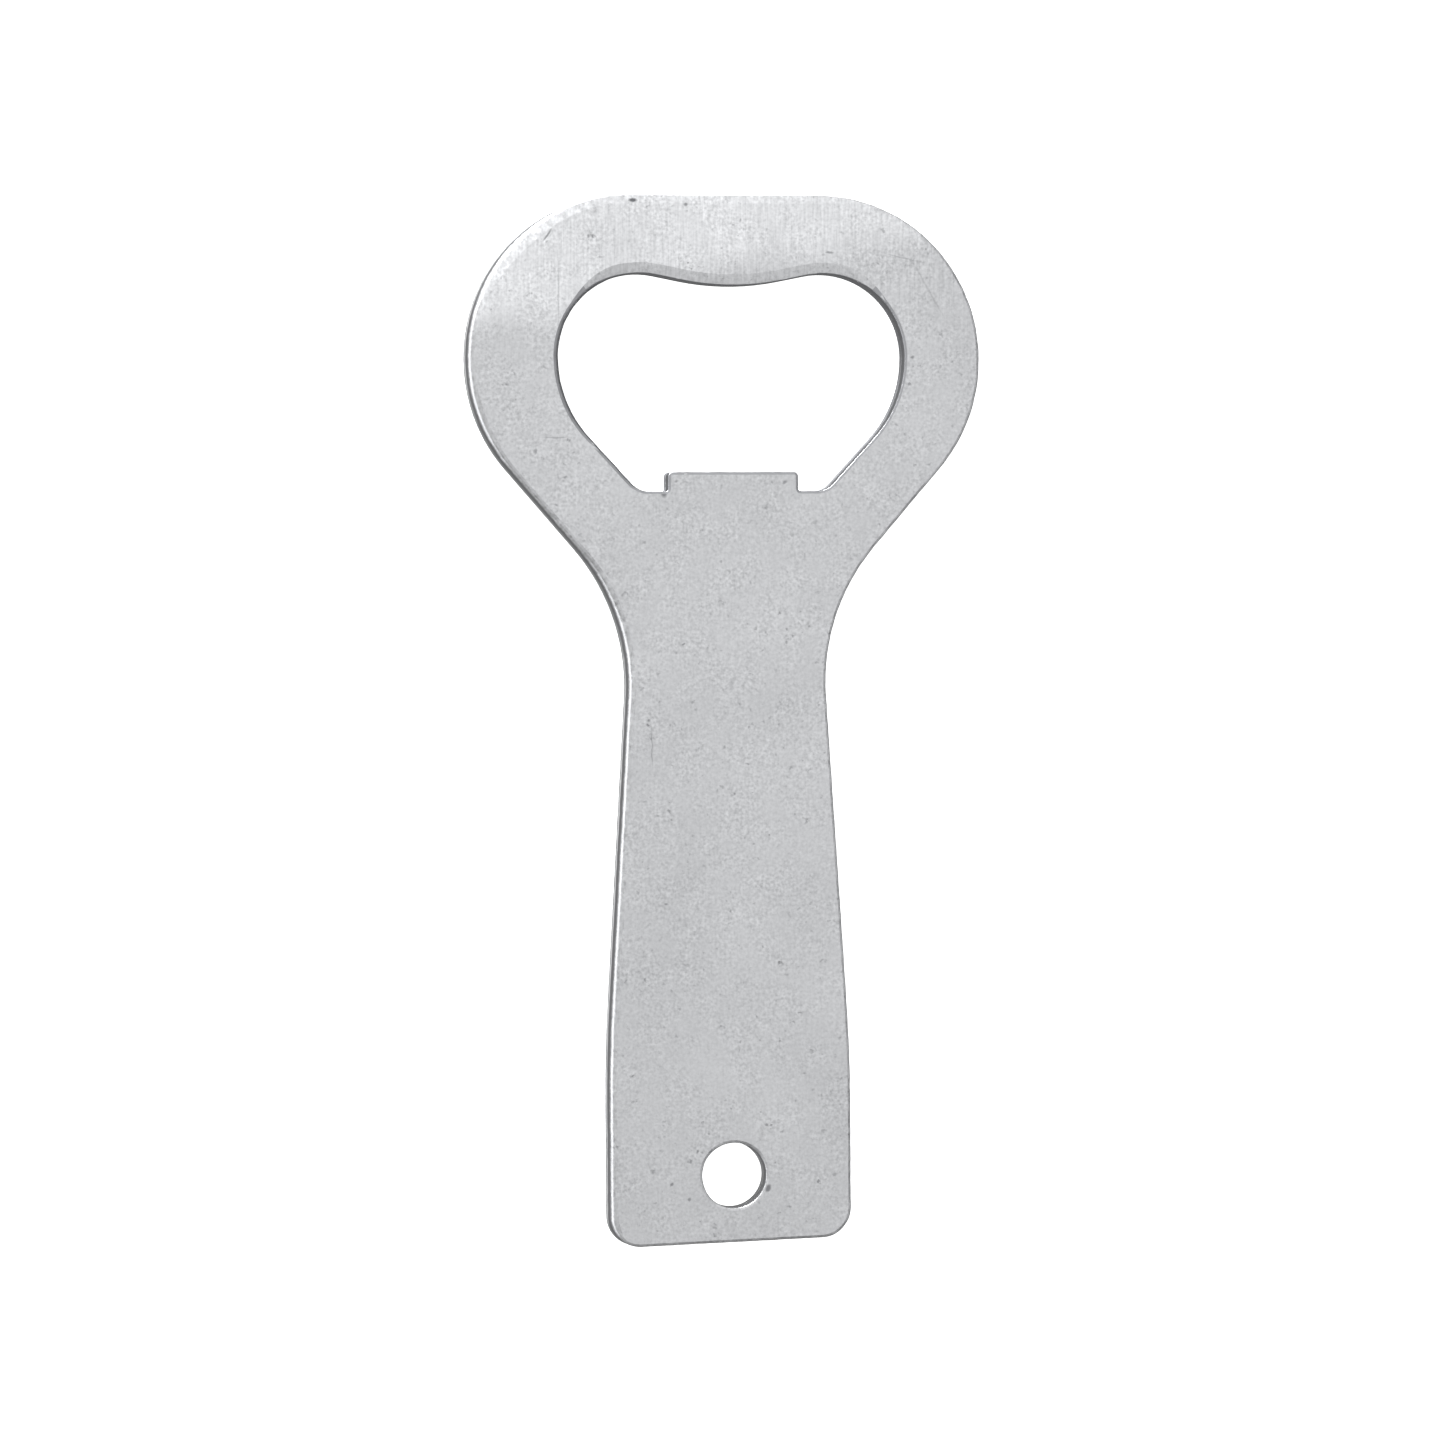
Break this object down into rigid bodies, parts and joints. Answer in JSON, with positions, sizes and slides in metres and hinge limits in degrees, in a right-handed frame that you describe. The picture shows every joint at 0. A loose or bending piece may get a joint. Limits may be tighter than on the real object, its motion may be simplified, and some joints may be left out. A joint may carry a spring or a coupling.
{
  "type": "keychain bottle opener",
  "caption": "Flat stamped steel bottle opener: rounded head with a cap opening, fulcrum bump and prying tab, a narrow neck, and a flared handle with a key-ring hole.",
  "frame": {"origin": "on the plane that the back face lies on, under the middle of the bounding box", "axes": "+Y along the opener towards its head, +Z out of the front face, +X to the right as the front face is seen with the head up"},
  "size_m": [0.0444, 0.0892, 0.002],
  "materials": {
    "tumbled_steel": "bare sheet, tumbled to a satin grey, with small nicks along the edges"
  },
  "bodies": {
    "root": {"opener_plate": "tumbled_steel"}
  },
  "joints": []
}
